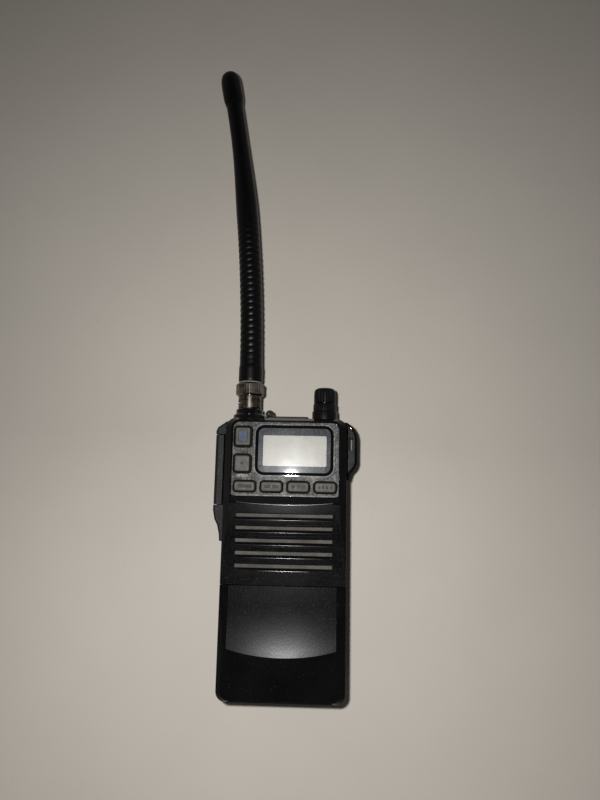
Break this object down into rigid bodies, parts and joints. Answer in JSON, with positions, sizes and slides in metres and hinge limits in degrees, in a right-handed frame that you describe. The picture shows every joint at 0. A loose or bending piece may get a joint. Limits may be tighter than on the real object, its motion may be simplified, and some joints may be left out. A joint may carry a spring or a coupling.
{
  "type": "handheld two-way marine radio",
  "caption": "Handheld marine radio with a bent rubber antenna on a bayonet connector, volume and squelch knobs, a display, keys, a slotted speaker front, a talk bar and a sliding battery.",
  "frame": {"origin": "centre of the flat back: halfway across the case and halfway along radio and battery together", "axes": "+X across the case to its right seen from the front, +Y along the case towards the antenna, +Z out of the front"},
  "size_m": [0.0762, 0.324, 0.036],
  "materials": {
    "case_plastic": "fine grained, slightly worn",
    "battery_plastic": "smooth satin, slightly worn",
    "panel_grey": "painted, speckled",
    "key_plastic": "satin",
    "window_clear": "clear, scratched",
    "print_grey": "printed",
    "display_cell": "pale, milky",
    "light_guide": "milky",
    "black_rubber": "matte",
    "antenna_rubber": "ribbed, satin",
    "knob_plastic": "fluted",
    "soft_cap": "satin",
    "nickel": "nickel plated, tarnished",
    "steel": "zinc plated",
    "black_steel": "blackened",
    "brass": "turned",
    "gold_contact": "gold plated",
    "copper": "wire",
    "board_green": "solder mask",
    "insulator_white": "smooth",
    "contact_block": "moulded",
    "magnet_grey": "sintered",
    "cone_paper": "pressed",
    "speaker_cloth": "woven, dusty",
    "glass_fibre": "pultruded",
    "cell_jacket": "printed foil sleeve"
  },
  "bodies": {
    "radio": {"front_case": "case_plastic", "rear_case": "case_plastic", "case_seal": "black_rubber", "key_panel": "panel_grey", "display_window": "window_clear", "display_frame": "print_grey", "lcd_panel": "display_cell", "lcd_backlight": "light_guide", "main_board": "board_green", "rf_board": "board_green", "rf_shield": "steel", "speaker_mesh": "speaker_cloth", "speaker_frame": "black_steel", "speaker_cone": "cone_paper", "speaker_magnet": "magnet_grey", "microphone": "steel", "keypad_mat": "black_rubber", "jack_collar": "black_rubber", "antenna_jack": "nickel", "jack_insulator": "insulator_white", "jack_contact": "gold_contact", "jack_nut": "nickel", "control_pot": "steel", "pot_nut": "steel", "audio_jacks": "contact_block", "ptt_switch": "contact_block", "ptt_seal": "black_rubber", "terminal_block": "contact_block", "spring_contacts": "gold_contact", "base_plate": "case_plastic", "case_screws": "black_steel", "board_screws": "steel", "clip_inserts": "brass"},
    "talk_bar": {"ptt_bar": "black_rubber"},
    "volume": {"volume_knob": "knob_plastic", "volume_shaft": "brass"},
    "squelch": {"squelch_ring": "knob_plastic", "squelch_shaft": "brass"},
    "upper_key": {"upper_key": "key_plastic"},
    "lower_key": {"lower_key": "key_plastic"},
    "first_row_key": {"first_row_key": "key_plastic"},
    "second_row_key": {"second_row_key": "key_plastic"},
    "third_row_key": {"third_row_key": "key_plastic"},
    "fourth_row_key": {"fourth_row_key": "key_plastic"},
    "antenna": {"plug_body": "nickel", "plug_pin": "gold_contact", "plug_insulator": "insulator_white", "antenna_core": "glass_fibre", "antenna_coil": "copper", "antenna_sleeve": "antenna_rubber", "antenna_tip": "soft_cap"},
    "lock_ring": {"bayonet_ring": "nickel"},
    "battery": {"battery_case": "battery_plastic", "aa_cells": "cell_jacket", "cell_springs": "steel", "cell_contacts": "steel"},
    "battery_lid": {"battery_cover": "battery_plastic"},
    "release": {"release_button": "contact_block"},
    "socket_cover": {"jack_cover": "black_rubber"}
  },
  "joints": [
    {"name": "volume_turn", "type": "hinge", "parent": "radio", "child": "volume", "pos_m": [0.0185, 0.077, 0.0175], "axis": [0, 1, 0], "range_deg": [0, 270]},
    {"name": "squelch_turn", "type": "hinge", "parent": "radio", "child": "squelch", "pos_m": [0.0185, 0.071, 0.0175], "axis": [0, 1, 0], "range_deg": [0, 280]},
    {"name": "talk_press", "type": "slide", "parent": "radio", "child": "talk_bar", "axis": [1, 0, 0], "range_m": [0, 0.0013], "stiffness_N_per_m": 1500, "springref_m": -0.0007},
    {"name": "upper_key_press", "type": "slide", "parent": "radio", "child": "upper_key", "axis": [0, 0, -1], "range_m": [0, 0.0008], "stiffness_N_per_m": 1200, "springref_m": -0.0004},
    {"name": "lower_key_press", "type": "slide", "parent": "radio", "child": "lower_key", "axis": [0, 0, -1], "range_m": [0, 0.0008], "stiffness_N_per_m": 1200, "springref_m": -0.0004},
    {"name": "first_row_key_press", "type": "slide", "parent": "radio", "child": "first_row_key", "axis": [0, 0, -1], "range_m": [0, 0.0008], "stiffness_N_per_m": 1200, "springref_m": -0.0004},
    {"name": "second_row_key_press", "type": "slide", "parent": "radio", "child": "second_row_key", "axis": [0, 0, -1], "range_m": [0, 0.0008], "stiffness_N_per_m": 1200, "springref_m": -0.0004},
    {"name": "third_row_key_press", "type": "slide", "parent": "radio", "child": "third_row_key", "axis": [0, 0, -1], "range_m": [0, 0.0008], "stiffness_N_per_m": 1200, "springref_m": -0.0004},
    {"name": "fourth_row_key_press", "type": "slide", "parent": "radio", "child": "fourth_row_key", "axis": [0, 0, -1], "range_m": [0, 0.0008], "stiffness_N_per_m": 1200, "springref_m": -0.0004},
    {"name": "lock_turn", "type": "hinge", "parent": "radio", "child": "lock_ring", "pos_m": [-0.0196, 0.08, 0.0175], "axis": [0, 1, 0], "range_deg": [-75, 0]},
    {"name": "antenna_swivel", "type": "hinge", "parent": "radio", "child": "antenna", "pos_m": [-0.0196, 0.084, 0.0175], "axis": [0, 1, 0], "continuous": true},
    {"name": "battery_slide", "type": "slide", "parent": "radio", "child": "battery", "axis": [1, 0, 0], "range_m": [0, 0.06]},
    {"name": "lid_slide", "type": "slide", "parent": "battery", "child": "battery_lid", "axis": [0, -1, 0], "range_m": [0, 0.055]},
    {"name": "release_slide", "type": "slide", "parent": "radio", "child": "release", "axis": [0, 1, 0], "range_m": [0, 0.0025], "stiffness_N_per_m": 400, "springref_m": -0.001},
    {"name": "socket_cover_swing", "type": "hinge", "parent": "radio", "child": "socket_cover", "pos_m": [0.0105, 0.06605, 0.0175], "axis": [0, 0, -1], "range_deg": [0, 90]}
  ]
}
